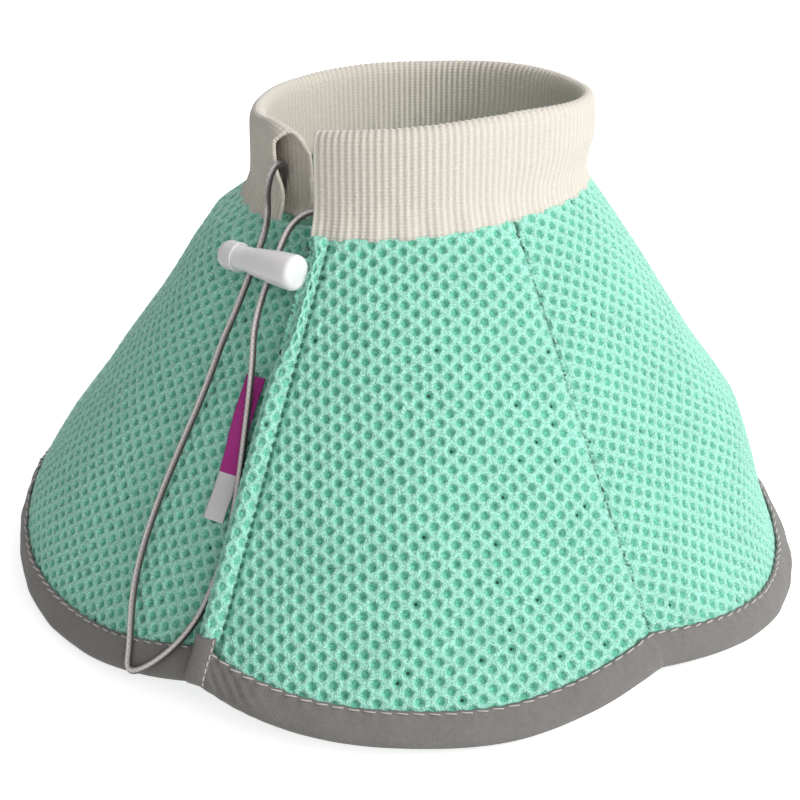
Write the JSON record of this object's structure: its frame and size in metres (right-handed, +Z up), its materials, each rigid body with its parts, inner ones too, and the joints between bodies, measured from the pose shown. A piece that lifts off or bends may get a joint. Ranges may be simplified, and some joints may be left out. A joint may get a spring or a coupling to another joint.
{
  "type": "elizabethan collar",
  "caption": "Soft recovery cone: petal panels of spacer mesh on a rib-knit neck band with an elastic drawcord and cord lock, a bound scalloped hem and a hook-and-loop closure flap.",
  "frame": {"origin": "centre of the bounding box's base, on the level that the hem stands on; the cone's own axis stands 1.779 mm behind it", "axes": "+Z up from the hem to the neck along the cone's axis, -Y towards the closure flap, +X towards the right panel"},
  "size_m": [0.2362, 0.2458, 0.1334],
  "materials": {
    "mesh_mint": "knitted polyester spacer mesh with staggered round openings, matt",
    "knit_cream": "rib-knit cotton, matt, vertical ribs",
    "binding_grey": "flat woven binding tape with a pale running stitch, matt",
    "drawcord_grey": "braided elastic cord, slight sheen",
    "seam_tape_mint": "woven seam tape, matt",
    "lap_mint": "woven lining cloth, matt",
    "loop_mint": "loop pile tape, matt",
    "hook_mint": "moulded hook tape, matt",
    "label_woven": "woven label, magenta with a pale end, bare",
    "lock_white": "moulded translucent white plastic, glossy",
    "spring_steel": "drawn spring wire"
  },
  "bodies": {
    "cone": {"panel_right": "mesh_mint", "panel_back_right": "mesh_mint", "panel_back_left": "mesh_mint", "panel_left_rear": "mesh_mint", "panel_left": "mesh_mint", "hem_binding": "binding_grey", "neck_band": "knit_cream", "lap_strip": "lap_mint", "loop_tape": "loop_mint", "seam_tape_1": "seam_tape_mint", "seam_tape_2": "seam_tape_mint", "seam_tape_3": "seam_tape_mint", "seam_tape_4": "seam_tape_mint", "seam_tape_5": "seam_tape_mint", "label_tab": "label_woven", "drawcord_neck_run": "drawcord_grey", "drawcord_loop": "drawcord_grey"},
    "flap": {"panel_front": "mesh_mint", "flap_facing": "mesh_mint", "hem_binding_flap": "binding_grey", "hook_tape": "hook_mint", "neck_band_flap": "knit_cream", "neck_band_fold": "knit_cream", "drawcord_flap_run": "drawcord_grey"},
    "cord_lock": {"cord_lock_barrel": "lock_white", "cord_lock_spring": "spring_steel"},
    "lock_plunger": {"cord_lock_plunger": "lock_white"}
  },
  "joints": [
    {"name": "flap_open", "type": "hinge", "parent": "cone", "child": "flap", "pos_m": [0.02481, -0.04119, 0.10991], "axis": [-0.2767, 0.4793, 0.8329], "range_deg": [0, 75], "deforming": ["neck_band_fold", "drawcord_flap_run", "drawcord_loop"]},
    {"name": "lock_slide", "type": "slide", "parent": "cone", "child": "cord_lock", "axis": [-0.3716, -0.4101, -0.8329], "range_m": [0, 0.015], "deforming": ["drawcord_loop"]},
    {"name": "plunger_press", "type": "slide", "parent": "cord_lock", "child": "lock_plunger", "axis": [0.741, -0.6715, 0], "range_m": [0, 0.0032], "stiffness_N_per_m": 800, "springref_m": -0.002, "deforming": ["cord_lock_spring"]}
  ]
}
